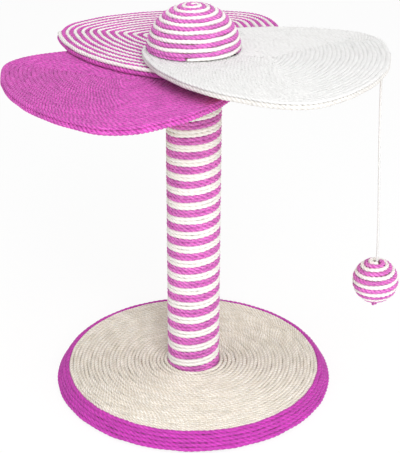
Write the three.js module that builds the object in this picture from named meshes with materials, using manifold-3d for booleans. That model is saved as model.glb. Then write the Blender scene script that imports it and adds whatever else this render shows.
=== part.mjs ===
// Cat scratching post: a round sisal-covered base, a striped rope-wound post, three rope-covered
// petals that swivel on a threaded stud, a striped dome that clamps them, and a rope ball that
// hangs on a cord from the uppermost petal. Millimetres, +Z up, origin under the middle of the base.
// Angles about Z are measured from the front, which is -Y, towards +X.

import * as THREE from 'three';
import { mergeVertices } from 'three/addons/utils/BufferGeometryUtils.js';
import Module from 'manifold-3d';

const wasm = await Module();
wasm.setup();

// ---------------------------------------------------------------- driving dimensions

const GAP = 0.3; // between pieces that lie on each other or fit in each other
const TURN_GAP = 0.5; // between neighbouring turns of rope
const HOLE_CLEARANCE = 0.4; // round the bolt and the stud

// base
const FELT_THICKNESS = 1.8;
const FELT_RADIUS = 190;
const BASE_BOARD_THICKNESS = 18;
const BASE_TOP_RADIUS = 182; // where the bevel of the board starts
const BASE_EDGE_RADIUS = 192.5; // where the bevel ends
const BASE_EDGE_HEIGHT = 1.3; // straight edge left under the bevel
const BASE_ROPE = 5.4; // diameter of the rope on the base
const RIM_START = 0.5; // middle of the first coloured row, down the bevel from its top
const RIM_END = 0.6; // how far past the bevel the last coloured row ends

// fasteners
const STUD_RADIUS = 5; // M10 bolt and stud
const BOLT_HEAD_ACROSS = 17;
const BOLT_HEAD_HEIGHT = 6.4;
const BOLT_WASHER_RADIUS = 12;
const BOLT_WASHER_THICKNESS = 2;
const BOLT_END = 4; // shank left past the tee nut
const COUNTERBORE_RADIUS = 14;
const COUNTERBORE_DEPTH = 9.3;
const TEE_NUT_FLANGE_RADIUS = 14;
const TEE_NUT_FLANGE_THICKNESS = 1.6;
const TEE_NUT_BARREL_RADIUS = 6.4;
const TEE_NUT_BARREL_LENGTH = 12;

// post
const POST_LENGTH = 437;
const TUBE_OUTER_RADIUS = 31;
const TUBE_WALL = 5;
const PLUG_THICKNESS = 18;
const POST_ROPE = 5.43;
const POST_ROWS = 4; // ropes laid on together: two magenta, then two natural
const STRIPE_HEIGHT = 32.5; // middle of a magenta band at the front of the post

// petals
const TIP_X = 4.8; // centre of the round end that the stud goes through
const TIP_RADIUS = 71.5;
const WIDE_X = 162.6; // centres of the two outer corners
const WIDE_Y = 94.2;
const WIDE_RADIUS = 66.4;
const SIDE_RADIUS = 246.9; // bow of the long sides
const END_RADIUS = 269.1; // bow of the outer end
const LOW_PETAL_SCALE = 0.985; // the two lower petals are cut a little smaller
const MID_PETAL_SCALE = 0.975;
const TOP_PETAL_SCALE = 1;
const PETAL_BOARD_THICKNESS = 5.5;
const PETAL_ROPE = 5.5;
const SPACER_RADIUS = 20;
const SPACER_THICKNESS = 0.8;
const LOW_PETAL_TURN = 211.4; // degrees from +X, seen from above
const MID_PETAL_TURN = 103.7;
const TOP_PETAL_TURN = -21.3;
const STRIPE_LOOPS = 4; // loops of the natural rope on the striped petal
const JOG_SHARE = 2 / 9; // share of each half loop in which a striped petal's rope moves inward

// dome
const DOME_RADIUS = 61.5;
const DOME_HEIGHT = 57;
const DOME_ROPE = 5.6;
const DOME_LOWEST = 0.8; // height of the natural rope's middle where it ends at the front
const DOME_START = 3.5; // length from the apex at which the ropes start
const INSERT_RADIUS = 8;
const INSERT_LENGTH = 20;
const STUD_REACH = 22; // how far the stud goes into the dome

// toy
const TOY_INSET = 9; // from the outer face of the petal's rim to the cord
const TOY_ANGLE = 8.75; // degrees off the petal's middle line, about the centre of its outer end
const KNOT_RADIUS = 4.1;
const KNOT_LIP = 0.45; // thickness of the lip that the knot hangs on
const CORD_DIAMETER = 3.4;
const CORD_DROP = 269; // from the petal's underside to the top of the ball
const CORD_SET = 11.5; // how far outward the stiff cord carries the ball
const BALL_RADIUS = 31.3;
const BALL_ROPE = 6.04;
const BALL_START = 5.1; // length from the poles at which the ropes start and end
const END_KNOT_RADIUS = 4.5;
const END_KNOT_LENGTH = 7;

// facets
const BASE_SIDES = 24; // straight steps in one turn
const POST_SIDES = 12;
const DOME_SIDES = 12;
const BALL_SIDES = 10;
const ROUND_SIDES = 24;
const MERIDIAN_STEPS = 180;

// ---------------------------------------------------------------- finishes

function finish(color, roughness, metalness) {
  return new THREE.MeshStandardMaterial({ color, roughness, metalness });
}

const magentaSisal = finish('#c33fae', 0.9, 0);
const naturalSisal = finish('#e9dfc4', 0.9, 0);
const bleachedSisal = finish('#ecebe6', 0.9, 0);
const fibreboard = finish('#b59468', 0.85, 0);
const cardboard = finish('#a98a62', 0.9, 0);
const softwood = finish('#d9bd8b', 0.75, 0);
const felt = finish('#3a3a3c', 0.95, 0);
const zincSteel = finish('#b9bcc0', 0.35, 1);
const nylon = finish('#e8e8e4', 0.45, 0);
const cottonCord = finish('#efeee8', 0.85, 0);

// ---------------------------------------------------------------- geometry helpers

// One closed body: shared vertices merged, empty triangles dropped, faces turned outward.
function closed(geometry) {
  const bare = geometry.clone();
  bare.deleteAttribute('normal');
  bare.deleteAttribute('uv');
  const merged = mergeVertices(bare, 1e-4);
  const place = merged.getAttribute('position');
  const corners = [new THREE.Vector3(), new THREE.Vector3(), new THREE.Vector3()];
  const faces = [];
  let volume = 0;
  for (let i = 0; i < merged.index.count; i += 3) {
    const ids = [0, 1, 2].map((k) => merged.index.getX(i + k));
    const empty = ids[0] === ids[1] || ids[1] === ids[2] || ids[2] === ids[0];
    if (!empty) {
      ids.forEach((id, k) => corners[k].fromBufferAttribute(place, id));
      volume += corners[0].dot(corners[1].clone().cross(corners[2]));
      faces.push(ids);
    }
  }
  if (volume < 0) faces.forEach((ids) => ids.reverse());
  merged.setIndex(faces.flat());
  return merged;
}

function toSolid(geometry) {
  const mesh = closed(geometry);
  const vertProperties = new Float32Array(mesh.getAttribute('position').array);
  const triVerts = new Uint32Array(mesh.index.array);
  return new wasm.Manifold(new wasm.Mesh({ numProp: 3, vertProperties, triVerts }));
}

function toGeometry(solid) {
  const mesh = solid.getMesh();
  const geometry = new THREE.BufferGeometry();
  geometry.setAttribute('position', new THREE.BufferAttribute(mesh.vertProperties, 3));
  geometry.setIndex(new THREE.BufferAttribute(mesh.triVerts, 1));
  return geometry;
}

function cut(geometry, ...cutters) {
  return toGeometry(cutters.reduce((solid, c) => solid.subtract(toSolid(c)), toSolid(geometry)));
}

function joined(first, second) {
  return toGeometry(toSolid(first).add(toSolid(second)));
}

// A solid of revolution about Z from [radius, height] pairs.
function turned(profile, sides = ROUND_SIDES) {
  const points = profile.map(([radius, height]) => new THREE.Vector2(radius, height));
  return closed(new THREE.LatheGeometry(points, sides).rotateX(Math.PI / 2));
}

// A round bar from one height to another: a shank, a plug or a cutter.
function bar(radius, bottom, top, sides = ROUND_SIDES) {
  return turned([[0, bottom], [radius, bottom], [radius, top], [0, top]], sides);
}

// A ring of rectangular section about Z.
function ring(inner, outer, bottom, top, sides = ROUND_SIDES) {
  const section = [[inner, bottom], [outer, bottom], [outer, top], [inner, top], [inner, bottom]];
  return turned(section, sides);
}

// A flat plate of one outline.
function plate(outline, bottom, top) {
  const options = { depth: top - bottom, bevelEnabled: false };
  return new THREE.ExtrudeGeometry(new THREE.Shape(outline), options).translate(0, 0, bottom);
}

// A point on a circle about Z, at an angle from the front.
function around(radius, angle, height) {
  return new THREE.Vector3(radius * Math.sin(angle), -radius * Math.cos(angle), height);
}

// A skin over rows of section points. Rows that don't loop get end caps, which fan out from the
// first point of their row.
function skin(rows, loops) {
  const sides = rows[0].length;
  const indices = [];
  const spans = loops ? rows.length : rows.length - 1;
  for (let i = 0; i < spans; i += 1) {
    const here = i * sides;
    const next = ((i + 1) % rows.length) * sides;
    for (let j = 0; j < sides; j += 1) {
      const k = (j + 1) % sides;
      indices.push(here + j, next + j, next + k);
      indices.push(here + j, next + k, here + k);
    }
  }
  const end = (rows.length - 1) * sides;
  for (let j = 1; j < sides - 1 && !loops; j += 1) {
    indices.push(0, j, j + 1);
    indices.push(end, end + j + 1, end + j);
  }
  const positions = rows.flat().flatMap((point) => point.toArray());
  const geometry = new THREE.BufferGeometry();
  geometry.setAttribute('position', new THREE.Float32BufferAttribute(positions, 3));
  geometry.setIndex(indices);
  return closed(geometry);
}

// Least distance between points of a winding's rows that lie more than half a loop apart.
function clearOfItself(rows, stepsPerLoop) {
  let least = Infinity;
  for (let i = 0; i < rows.length; i += 1) {
    for (let j = i + Math.ceil(stepsPerLoop / 2); j < rows.length; j += 1) {
      for (const a of rows[i]) {
        for (const b of rows[j]) least = Math.min(least, a.distanceTo(b));
      }
    }
  }
  return least;
}

// ---------------------------------------------------------------- scene graph

const post = new THREE.Group();

function add(name, geometry, material, parent = post) {
  const mesh = new THREE.Mesh(geometry, material);
  mesh.name = name;
  parent.add(mesh);
}

function addWinding(name, rows, stepsPerLoop, material, parent = post) {
  console.log(`${name}: least gap to itself ${clearOfItself(rows, stepsPerLoop).toFixed(2)} mm`);
  add(name, skin(rows, false), material, parent);
}

// ---------------------------------------------------------------- heights of the stack

const boardBottom = FELT_THICKNESS + GAP;
const boardTop = boardBottom + BASE_BOARD_THICKNESS;
const postBottom = boardTop + GAP;
const postTop = postBottom + POST_LENGTH;
const petalThickness = PETAL_BOARD_THICKNESS + PETAL_ROPE;
const spacerSpace = SPACER_THICKNESS + 2 * GAP;
const lowPetalBottom = postTop + spacerSpace;
const midPetalBottom = lowPetalBottom + petalThickness + spacerSpace;
const topPetalBottom = midPetalBottom + petalThickness + spacerSpace;
const domeBottom = topPetalBottom + petalThickness + spacerSpace;

const holeRadius = STUD_RADIUS + HOLE_CLEARANCE;
const tubeInnerRadius = TUBE_OUTER_RADIUS - TUBE_WALL;
// the post's rope lies on the tube at the middle of its straight steps
const postRopeInner = (TUBE_OUTER_RADIUS + GAP) / Math.cos(Math.PI / POST_SIDES);
const postRopeOuter = postRopeInner + POST_ROPE;

// ---------------------------------------------------------------- base

const bevelRun = BASE_EDGE_RADIUS - BASE_TOP_RADIUS;
const bevelDrop = BASE_BOARD_THICKNESS - BASE_EDGE_HEIGHT;
const bevelLength = Math.hypot(bevelRun, bevelDrop);
const bevelDown = new THREE.Vector2(bevelRun, -bevelDrop).divideScalar(bevelLength);
const bevelOut = new THREE.Vector2(-bevelDown.y, bevelDown.x);

function baseBoard() {
  const board = turned([
    [0, boardBottom],
    [BASE_EDGE_RADIUS, boardBottom],
    [BASE_EDGE_RADIUS, boardBottom + BASE_EDGE_HEIGHT],
    [BASE_TOP_RADIUS, boardTop],
    [0, boardTop],
  ], BASE_SIDES);
  const boltHole = bar(holeRadius, boardBottom - 1, boardTop + 1);
  const counterbore = bar(COUNTERBORE_RADIUS, boardBottom - 1, boardBottom + COUNTERBORE_DEPTH);
  return cut(board, boltHole, counterbore);
}

// A place on the bevel: distance down it from its top edge, and out from it.
function onBevel(down, out, angle) {
  const radius = BASE_TOP_RADIUS + bevelDown.x * down + bevelOut.x * out;
  return around(radius, angle, boardTop + bevelDown.y * down + bevelOut.y * out);
}

const rimHalfWidth = (BASE_ROPE - TURN_GAP) / 2;

// The coloured rope runs down the bevel in one spiral, from the back. Each turn is a ridge that
// stands on the bevel, with its crest one rope away from it.
function baseRim() {
  const loops = (bevelLength - RIM_START + RIM_END) / BASE_ROPE;
  const steps = Math.round(loops * BASE_SIDES);
  const rows = [];
  for (let i = 0; i <= steps; i += 1) {
    const down = RIM_START + (i / BASE_SIDES) * BASE_ROPE;
    const angle = (i / BASE_SIDES + 0.5) * 2 * Math.PI;
    rows.push([
      onBevel(down, BASE_ROPE, angle),
      onBevel(down + rimHalfWidth, GAP, angle),
      onBevel(down - rimHalfWidth, GAP, angle),
    ]);
  }
  return rows;
}

// The natural rope of the top fills the flat from the post's rope to the first coloured row.
function baseTop() {
  const inner = (postRopeOuter + GAP) / Math.cos(Math.PI / BASE_SIDES);
  const firstRowEdge = -onBevel(RIM_START - rimHalfWidth, GAP, 0).y;
  return ring(inner, firstRowEdge - GAP, boardTop + GAP, boardTop + BASE_ROPE, BASE_SIDES);
}

const boltWasherTop = boardBottom + COUNTERBORE_DEPTH - GAP;
const boltHeadTop = boltWasherTop - BOLT_WASHER_THICKNESS - GAP;
const lowTeeNutFlange = postBottom + PLUG_THICKNESS + GAP;
const topTeeNutFlange = postTop - PLUG_THICKNESS - GAP - TEE_NUT_FLANGE_THICKNESS;

function hexBolt() {
  const headRadius = BOLT_HEAD_ACROSS / Math.sqrt(3);
  const head = bar(headRadius, boltHeadTop - BOLT_HEAD_HEIGHT, boltHeadTop, 6);
  const shankTop = lowTeeNutFlange + TEE_NUT_FLANGE_THICKNESS + BOLT_END;
  return joined(head, bar(STUD_RADIUS, boltHeadTop - 1, shankTop));
}

add('base_felt', bar(FELT_RADIUS, 0, FELT_THICKNESS, BASE_SIDES), felt);
add('base_board', baseBoard(), fibreboard);
add('base_top_sisal', baseTop(), naturalSisal);
addWinding('base_rim_sisal', baseRim(), BASE_SIDES, magentaSisal);
add('base_bolt', hexBolt(), zincSteel);
const boltWasherBottom = boltWasherTop - BOLT_WASHER_THICKNESS;
add('base_washer', ring(holeRadius, BOLT_WASHER_RADIUS, boltWasherBottom, boltWasherTop), zincSteel);

// ---------------------------------------------------------------- post

// Flange at one height and barrel pointing up or down from it.
function teeNut(flangeBottom, up) {
  const flangeTop = flangeBottom + TEE_NUT_FLANGE_THICKNESS;
  const bore = STUD_RADIUS + GAP;
  const flange = ring(bore, TEE_NUT_FLANGE_RADIUS, flangeBottom, flangeTop);
  const barrel = up
    ? ring(bore, TEE_NUT_BARREL_RADIUS, flangeBottom, flangeTop + TEE_NUT_BARREL_LENGTH)
    : ring(bore, TEE_NUT_BARREL_RADIUS, flangeBottom - TEE_NUT_BARREL_LENGTH, flangeTop);
  return joined(flange, barrel);
}

function plug(bottom) {
  return ring(TEE_NUT_BARREL_RADIUS + GAP, tubeInnerRadius - GAP, bottom, bottom + PLUG_THICKNESS);
}

// Two ropes of one colour lie side by side, so a band has two crests and a valley between them.
// The bands rise to the right as they go round.
function postBand(heightAtFront) {
  const lead = POST_ROWS * POST_ROPE;
  const half = POST_ROPE - TURN_GAP / 2;
  const lowest = postBottom + half - heightAtFront;
  const highest = postTop - half - heightAtFront;
  const first = Math.ceil((lowest / lead) * POST_SIDES);
  const last = Math.floor((highest / lead) * POST_SIDES);
  const rows = [];
  for (let i = first; i <= last; i += 1) {
    const angle = (i / POST_SIDES) * 2 * Math.PI;
    const middle = heightAtFront + (i / POST_SIDES) * lead;
    const point = (out, up) => around(postRopeInner + out, angle, middle + up);
    rows.push([
      point(POST_ROPE * 0.55, 0),
      point(POST_ROPE, POST_ROPE / 2),
      point(0, half),
      point(0, -half),
      point(POST_ROPE, -POST_ROPE / 2),
    ]);
  }
  return rows;
}

add('post_tube', ring(tubeInnerRadius, TUBE_OUTER_RADIUS, postBottom, postTop), cardboard);
add('post_plug_bottom', plug(postBottom), softwood);
add('post_plug_top', plug(postTop - PLUG_THICKNESS), softwood);
add('post_tee_nut_bottom', teeNut(lowTeeNutFlange, false), zincSteel);
add('post_tee_nut_top', teeNut(topTeeNutFlange, true), zincSteel);
addWinding('post_sisal_magenta', postBand(STRIPE_HEIGHT), POST_SIDES, magentaSisal);
const naturalHeight = STRIPE_HEIGHT - (POST_ROWS / 2) * POST_ROPE;
addWinding('post_sisal_natural', postBand(naturalHeight), POST_SIDES, naturalSisal);

// ---------------------------------------------------------------- petal outline

// The outline is a chain of arcs that run into each other without a corner: the outer end, a
// wide corner, a long side, the round tip, and the same again mirrored. Its stations keep their
// arc's centre and direction, so the outline can be drawn again at any inset.
function petalStations(detail, size) {
  const sideTip = SIDE_RADIUS - TIP_RADIUS;
  const sideWide = SIDE_RADIUS - WIDE_RADIUS;
  const wide = new THREE.Vector2(WIDE_X, WIDE_Y);
  const tip = new THREE.Vector2(TIP_X, 0);
  const span = wide.clone().sub(tip);
  const reach = span.length();
  const along = (sideTip ** 2 - sideWide ** 2 + reach ** 2) / (2 * reach);
  const across = Math.sqrt(sideTip ** 2 - along ** 2);
  const axis = span.clone().divideScalar(reach);
  const side = tip.clone().addScaledVector(axis, along);
  side.addScaledVector(new THREE.Vector2(axis.y, -axis.x), across);
  const end = new THREE.Vector2(WIDE_X - Math.sqrt((END_RADIUS - WIDE_RADIUS) ** 2 - WIDE_Y ** 2), 0);
  const endTurn = wide.clone().sub(end).angle();
  const sideStart = wide.clone().sub(side).angle();
  const sideStop = tip.clone().sub(side).angle();
  const arcs = [
    { centre: end, radius: END_RADIUS, from: 0, to: endTurn, steps: 2 },
    { centre: wide, radius: WIDE_RADIUS, from: endTurn, to: sideStart, steps: 2 },
    { centre: side, radius: SIDE_RADIUS, from: sideStart, to: sideStop, steps: 2 },
    { centre: tip, radius: TIP_RADIUS, from: sideStop, to: Math.PI, steps: 3 },
  ];
  const half = [];
  for (const { centre, radius, from, to, steps } of arcs) {
    const count = steps * detail;
    for (let i = 0; i < count; i += 1) {
      half.push({ centre, radius, angle: from + ((to - from) * i) / count });
    }
  }
  half.push({ centre: tip, radius: TIP_RADIUS, angle: Math.PI });
  const mirrored = half.slice(1, -1).reverse().map(({ centre, radius, angle }) => ({
    centre: new THREE.Vector2(centre.x, -centre.y),
    radius,
    angle: -angle,
  }));
  return [...half, ...mirrored].map(({ centre, radius, angle }) => ({
    centre: centre.clone().multiplyScalar(size),
    radius: radius * size,
    angle,
  }));
}

function atStation({ centre, radius, angle }, inset) {
  const reach = radius - inset;
  return new THREE.Vector2(centre.x + reach * Math.cos(angle), centre.y + reach * Math.sin(angle));
}

const lowStations = petalStations(2, LOW_PETAL_SCALE);
const midStations = petalStations(2, MID_PETAL_SCALE);
const topStations = petalStations(2, TOP_PETAL_SCALE);
const stripeStations = petalStations(1, MID_PETAL_SCALE);

// ---------------------------------------------------------------- petals

const studHole = bar(holeRadius, -1, petalThickness + 1);

function petalPlate(stations, bottom, top) {
  const outline = stations.map((station) => atStation(station, PETAL_ROPE));
  return cut(plate(outline, bottom, top), studHole);
}

const ropeBed = PETAL_BOARD_THICKNESS + GAP;

function petalBoard(stations) {
  return petalPlate(stations, 0, PETAL_BOARD_THICKNESS);
}

function petalTopRope(stations) {
  return petalPlate(stations, ropeBed, petalThickness);
}

// Rows of rope, one above the other, wrap the edge of the board: one row up to the board's face,
// or two that wrap the rope on it too.
function petalRim(stations, rowCount) {
  const row = petalThickness / 2;
  const section = [
    [PETAL_ROPE - GAP, 0],
    [PETAL_ROPE - GAP, rowCount * row],
    [PETAL_ROPE / 4, rowCount * row],
  ];
  for (let below = rowCount - 1; below >= 0; below -= 1) {
    section.push([0, (below + 0.5) * row]);
    section.push([PETAL_ROPE / (below > 0 ? 5 : 4), below * row]);
  }
  const rows = stations.map((station) => section.map(([inset, height]) => {
    const { x, y } = atStation(station, inset);
    return new THREE.Vector3(x, y, height);
  }));
  return skin(rows, true);
}

// Two ropes spiral inward side by side, so each moves in by two ropes a loop. Both start over
// the rim: the natural one at a wide corner and the magenta one half a loop on. They run level
// with the outline and move in where the other one starts. Each is a ridge that lies on the board.
const loopSteps = stripeStations.length;
const stripeHalfWidth = (PETAL_ROPE - TURN_GAP) / 2;
const naturalStart = stripeStations.findIndex(({ angle }) => angle > Math.PI / 4);
const magentaStart = naturalStart + loopSteps / 2;
const stripeStop = naturalStart + Math.round(STRIPE_LOOPS * loopSteps);

function stripeInset(step, firstStep) {
  const halfLoops = (2 * (step - firstStep)) / loopSteps;
  const level = Math.floor(halfLoops);
  const jog = Math.max(0, 1 - (level + 1 - halfLoops) / JOG_SHARE);
  return PETAL_ROPE * (0.5 + level + jog);
}

function petalStripe(firstStep) {
  const rows = [];
  for (let step = firstStep; step <= stripeStop; step += 1) {
    const station = stripeStations[step % loopSteps];
    const middle = stripeInset(step, firstStep);
    const point = (inset, height) => {
      const { x, y } = atStation(station, inset);
      return new THREE.Vector3(x, y, height);
    };
    rows.push([
      point(middle, petalThickness),
      point(middle + stripeHalfWidth, ropeBed),
      point(middle - stripeHalfWidth, ropeBed),
    ]);
  }
  return rows;
}

// The middle of the striped petal starts where the last natural row leaves off.
function stripedMiddle() {
  const outline = stripeStations.map((station, i) => {
    const lastStep = stripeStop - ((stripeStop - i) % loopSteps);
    const lastRow = stripeInset(lastStep, naturalStart);
    return atStation(station, lastRow + stripeHalfWidth + TURN_GAP);
  });
  return cut(plate(outline, ropeBed, petalThickness), studHole);
}

function petalGroup(bottom, turn) {
  const group = new THREE.Group();
  group.position.z = bottom;
  group.rotation.z = THREE.MathUtils.degToRad(turn);
  post.add(group);
  return group;
}

const lowPetal = petalGroup(lowPetalBottom, LOW_PETAL_TURN);
add('petal_low_board', petalBoard(lowStations), fibreboard, lowPetal);
add('petal_low_top_sisal', petalTopRope(lowStations), magentaSisal, lowPetal);
add('petal_low_rim_sisal', petalRim(lowStations, 2), magentaSisal, lowPetal);

const midPetal = petalGroup(midPetalBottom, MID_PETAL_TURN);
const naturalRows = petalStripe(naturalStart);
const magentaRows = petalStripe(magentaStart);
add('petal_mid_board', petalBoard(midStations), fibreboard, midPetal);
add('petal_mid_rim_sisal', petalRim(midStations, 1), magentaSisal, midPetal);
addWinding('petal_mid_sisal_natural', naturalRows, loopSteps, naturalSisal, midPetal);
addWinding('petal_mid_sisal_magenta', magentaRows, loopSteps, magentaSisal, midPetal);
add('petal_mid_middle_sisal', stripedMiddle(), magentaSisal, midPetal);

// ---------------------------------------------------------------- uppermost petal and its pocket

// The cord's knot hangs in a pocket near the edge of the board, on a thin lip, under the rope.
const outerEnd = topStations[0];
const toyStation = { ...outerEnd, angle: THREE.MathUtils.degToRad(TOY_ANGLE) };
const toyPlace = atStation(toyStation, TOY_INSET);
const knotHeight = Math.sqrt((KNOT_RADIUS + GAP) ** 2 - (KNOT_RADIUS - GAP) ** 2) + KNOT_LIP;
const pocketRadius = (KNOT_RADIUS + GAP) / Math.cos(Math.PI / ROUND_SIDES);

function knotPocket() {
  const pocketTop = knotHeight + KNOT_RADIUS + GAP;
  const pocket = bar(pocketRadius, KNOT_LIP, pocketTop);
  const mouth = bar(KNOT_RADIUS - GAP, -1, KNOT_LIP + 1);
  return joined(pocket, mouth).translate(toyPlace.x, toyPlace.y, 0);
}

const topPetal = petalGroup(topPetalBottom, TOP_PETAL_TURN);
add('petal_top_board', cut(petalBoard(topStations), knotPocket()), fibreboard, topPetal);
add('petal_top_top_sisal', cut(petalTopRope(topStations), knotPocket()), bleachedSisal, topPetal);
add('petal_top_rim_sisal', cut(petalRim(topStations, 2), knotPocket()), bleachedSisal, topPetal);

// ---------------------------------------------------------------- stud and spacers

function spacer(petalBottom) {
  const bottom = petalBottom - GAP - SPACER_THICKNESS;
  return ring(holeRadius, SPACER_RADIUS, bottom, bottom + SPACER_THICKNESS);
}

const studBottom = topTeeNutFlange - BOLT_END;
add('head_stud', bar(STUD_RADIUS, studBottom, domeBottom + STUD_REACH), zincSteel);
add('spacer_post', spacer(lowPetalBottom), nylon);
add('spacer_low', spacer(midPetalBottom), nylon);
add('spacer_mid', spacer(topPetalBottom), nylon);
add('spacer_dome', spacer(domeBottom), nylon);

// ---------------------------------------------------------------- rope on a ball or a dome

// Lengths down a meridian from its top, at even steps of the polar angle.
function meridianLengths(halfWidth, halfHeight) {
  const lengths = [0];
  for (let i = 0; i < MERIDIAN_STEPS; i += 1) {
    const polar = ((i + 0.5) / MERIDIAN_STEPS) * Math.PI;
    const stride = Math.hypot(halfWidth * Math.cos(polar), halfHeight * Math.sin(polar));
    lengths.push(lengths[i] + (stride * Math.PI) / MERIDIAN_STEPS);
  }
  return lengths;
}

function polarAt(lengths, length) {
  const next = lengths.findIndex((reached) => reached > length);
  const share = (length - lengths[next - 1]) / (lengths[next] - lengths[next - 1]);
  return ((next - 1 + share) / MERIDIAN_STEPS) * Math.PI;
}

// Two ropes wind up a ball side by side and rise to the right, so each climbs two ropes a turn.
// One ends at the front of the lowest row and the other above it, half a turn on, at the back.
// The dome's lowest turns are pressed flat against its underside.
function ballRope({ centre, width, height, rope, sides, start, lowest, floor }, above) {
  const halfWidth = width - rope / 2;
  const halfHeight = height - rope / 2;
  const lengths = meridianLengths(halfWidth, halfHeight);
  const stepLength = (2 * rope) / sides;
  const atFront = lowest(lengths) - (above ? rope : 0);
  const highest = Math.floor((atFront - start) / stepLength);
  const halfRope = (rope - TURN_GAP) / 2;
  const rows = [];
  for (let step = above ? -sides / 2 : 0; step <= highest; step += 1) {
    const turn = (step / sides) * 2 * Math.PI;
    const polar = polarAt(lengths, atFront - step * stepLength);
    const outward = new THREE.Vector2(Math.sin(polar) / halfWidth, Math.cos(polar) / halfHeight);
    outward.normalize();
    const point = (out, down) => {
      const reach = halfWidth * Math.sin(polar) + outward.x * out + outward.y * down;
      const rise = halfHeight * Math.cos(polar) + outward.y * out - outward.x * down;
      return around(reach, turn, Math.max(rise, floor)).add(centre);
    };
    rows.push([point(rope / 2, 0), point(0, halfRope), point(-rope / 2, 0), point(0, -halfRope)]);
  }
  return rows;
}

// A core reaches the inside of the rope at the middle of its straight steps.
function coreReach(reach, rope, sides) {
  return (reach - rope) * Math.cos(Math.PI / sides) - GAP;
}

function arcProfile(radius, fromAngle, toAngle, steps) {
  return Array.from({ length: steps + 1 }, (_, i) => {
    const polar = fromAngle + ((toAngle - fromAngle) * i) / steps;
    return [Math.max(radius * Math.sin(polar), 0), radius * Math.cos(polar)];
  });
}

// ---------------------------------------------------------------- dome

const domeCentre = new THREE.Vector3(0, 0, domeBottom);

function domeCore() {
  const radius = coreReach(DOME_RADIUS, DOME_ROPE, DOME_SIDES);
  const rise = coreReach(DOME_HEIGHT, DOME_ROPE, DOME_SIDES);
  const quarter = arcProfile(1, Math.PI / 2, 0, 6).map(([r, h]) => [r * radius, h * rise]);
  const core = turned([[0, 0], ...quarter]).translate(0, 0, domeBottom);
  const depth = Math.max(STUD_REACH, INSERT_LENGTH) + 2;
  return cut(core, bar(INSERT_RADIUS + GAP, domeBottom - 1, domeBottom + depth));
}

const domeRope = {
  centre: domeCentre,
  width: DOME_RADIUS,
  height: DOME_HEIGHT,
  rope: DOME_ROPE,
  sides: DOME_SIDES,
  start: DOME_START,
  lowest: (lengths) => lengths[MERIDIAN_STEPS / 2] - DOME_LOWEST,
  floor: 0,
};
add('dome_core', domeCore(), softwood);
const insertBottom = domeBottom + GAP;
const insertTop = domeBottom + INSERT_LENGTH;
add('dome_insert', ring(STUD_RADIUS + GAP, INSERT_RADIUS, insertBottom, insertTop), zincSteel);
addWinding('dome_sisal_magenta', ballRope(domeRope, true), DOME_SIDES, magentaSisal);
addWinding('dome_sisal_natural', ballRope(domeRope, false), DOME_SIDES, naturalSisal);

// ---------------------------------------------------------------- toy

const toyTurn = THREE.MathUtils.degToRad(TOP_PETAL_TURN);
const toyXY = toyPlace.clone().rotateAround(new THREE.Vector2(0, 0), toyTurn);
const toyPivot = new THREE.Vector3(toyXY.x, toyXY.y, topPetalBottom + knotHeight);
const outward = new THREE.Vector3(toyXY.x, toyXY.y, 0).normalize();
const ballCentre = toyPivot.clone().addScaledVector(outward, CORD_SET);
ballCentre.z = topPetalBottom - CORD_DROP - BALL_RADIUS;
const cordHoleRadius = CORD_DIAMETER / 2 + HOLE_CLEARANCE;

function toyBallCore() {
  const radius = coreReach(BALL_RADIUS, BALL_ROPE, BALL_SIDES);
  const core = turned(arcProfile(radius, Math.PI, 0, 8), BALL_SIDES * 2);
  return cut(core, bar(cordHoleRadius, -BALL_RADIUS, BALL_RADIUS, 12)).translate(...ballCentre);
}

const ballRopeSize = {
  centre: ballCentre,
  width: BALL_RADIUS,
  height: BALL_RADIUS,
  rope: BALL_ROPE,
  sides: BALL_SIDES,
  start: BALL_START,
  lowest: (lengths) => lengths[MERIDIAN_STEPS] - BALL_START,
  floor: -BALL_RADIUS,
};

const endKnotTop = ballCentre.z - BALL_RADIUS - GAP;

// The cord's route, as [distance outward, height under the pivot].
function cordRoute() {
  const start = KNOT_RADIUS + GAP;
  const stop = toyPivot.z - endKnotTop - GAP;
  const route = [
    [0, start],
    [0, start + CORD_DROP * 0.06],
    [CORD_SET * 0.12, start + CORD_DROP * 0.2],
    [CORD_SET * 0.35, start + CORD_DROP * 0.4],
    [CORD_SET * 0.62, start + CORD_DROP * 0.6],
    [CORD_SET * 0.86, start + CORD_DROP * 0.8],
    [CORD_SET, start + CORD_DROP * 0.97],
    [CORD_SET, toyPivot.z - ballCentre.z],
    [CORD_SET, stop],
  ];
  return route.map(([out, down]) => {
    const point = toyPivot.clone().addScaledVector(outward, out);
    point.z -= down;
    return point;
  });
}

function toyCord() {
  const section = new THREE.Shape(
    Array.from({ length: 8 }, (_, i) => {
      const angle = (i / 8) * 2 * Math.PI;
      const radius = CORD_DIAMETER / 2;
      return new THREE.Vector2(radius * Math.cos(angle), radius * Math.sin(angle));
    }),
  );
  const path = new THREE.CatmullRomCurve3(cordRoute());
  const steps = Math.round(path.getLength() / (CORD_DIAMETER * 2.6));
  console.log(`toy_cord: ${path.getLength().toFixed(1)} mm long`);
  return closed(new THREE.ExtrudeGeometry(section, { extrudePath: path, steps }));
}

function endKnot() {
  const half = END_KNOT_LENGTH / 2;
  const profile = arcProfile(1, Math.PI, 0, 6).map(([r, h]) => [r * END_KNOT_RADIUS, h * half]);
  return turned(profile, 12).translate(ballCentre.x, ballCentre.y, endKnotTop - half);
}

const topKnot = closed(new THREE.SphereGeometry(KNOT_RADIUS, 12, 8)).translate(...toyPivot);
add('toy_top_knot', topKnot, cottonCord);
add('toy_cord', toyCord(), cottonCord);
add('toy_ball_core', toyBallCore(), softwood);
addWinding('toy_ball_sisal_magenta', ballRope(ballRopeSize, false), BALL_SIDES, magentaSisal);
addWinding('toy_ball_sisal_natural', ballRope(ballRopeSize, true), BALL_SIDES, naturalSisal);
add('toy_end_knot', endKnot(), magentaSisal);

export default post;
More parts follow.
